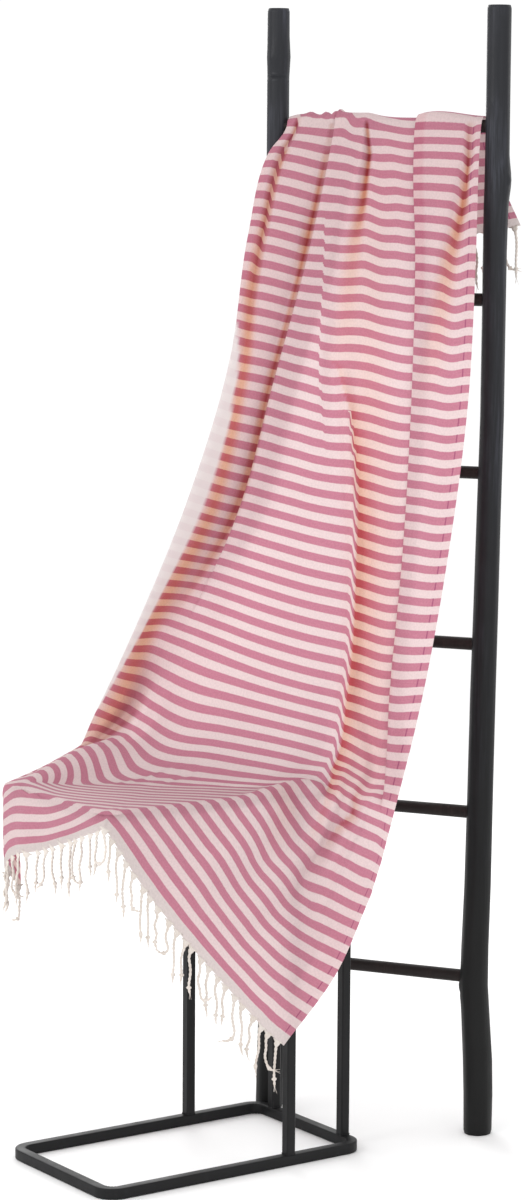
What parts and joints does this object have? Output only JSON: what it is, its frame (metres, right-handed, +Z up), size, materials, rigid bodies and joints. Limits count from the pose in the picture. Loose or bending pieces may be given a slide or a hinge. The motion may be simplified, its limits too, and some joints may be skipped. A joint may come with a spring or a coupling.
{
  "type": "hammam towel hung over a pole ladder and a side table",
  "caption": "Striped fringed hammam towel hanging from the top rung of a pole ladder, its low end spread over a side table with two edges hanging down.",
  "frame": {"origin": "centre of the foot of the ladder's right-hand pole, on the floor", "axes": "+X along the rungs to the right, +Y to the back of the ladder, +Z up"},
  "size_m": [0.749, 0.7177, 2],
  "materials": {
    "cloth": "plain woven cotton in pink and cream stripes",
    "fringe": "twisted cream cotton",
    "pole": "black stained log, matt to satin",
    "rung": "black stained, matt",
    "tube": "black powder coat",
    "panel": "black powder coat"
  },
  "bodies": {
    "root": {"towel": "cloth", "fringe_front": "fringe", "fringe_rear": "fringe", "pole_left": "pole", "pole_right": "pole", "rung_1": "rung", "rung_2": "rung", "rung_3": "rung", "rung_4": "rung", "rung_5": "rung", "rung_6": "rung", "base_loop": "tube", "top_loop": "tube", "top_panel": "panel", "upright_back": "tube", "upright_front": "tube", "upright_end_front": "tube", "upright_end_back": "tube"}
  },
  "joints": []
}
